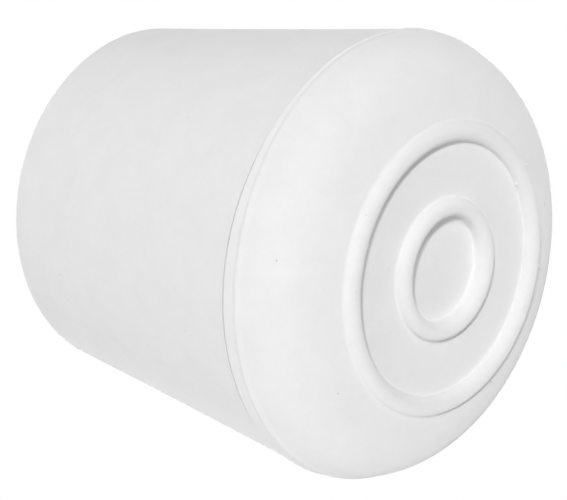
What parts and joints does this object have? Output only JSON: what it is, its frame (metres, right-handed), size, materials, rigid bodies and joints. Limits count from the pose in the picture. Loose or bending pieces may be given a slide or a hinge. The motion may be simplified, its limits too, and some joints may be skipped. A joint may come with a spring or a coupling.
{
  "type": "rubber foot",
  "caption": "Round push-on rubber foot: a tapered body with a socket for a round leg, a rolled base, and a sole with raised round beads.",
  "frame": {"origin": "centre of the sole, on the foot's axis, at the level of the floor that the sole's outer bead rests on", "axes": "+Z along the axis of revolution, up from the sole to the socket's mouth; X and Y are any two directions across it, because the foot is round"},
  "size_m": [0.0382, 0.0382, 0.037],
  "materials": {
    "white_rubber": "matt, as moulded, white"
  },
  "bodies": {
    "root": {"rubber_foot": "white_rubber"}
  },
  "joints": []
}
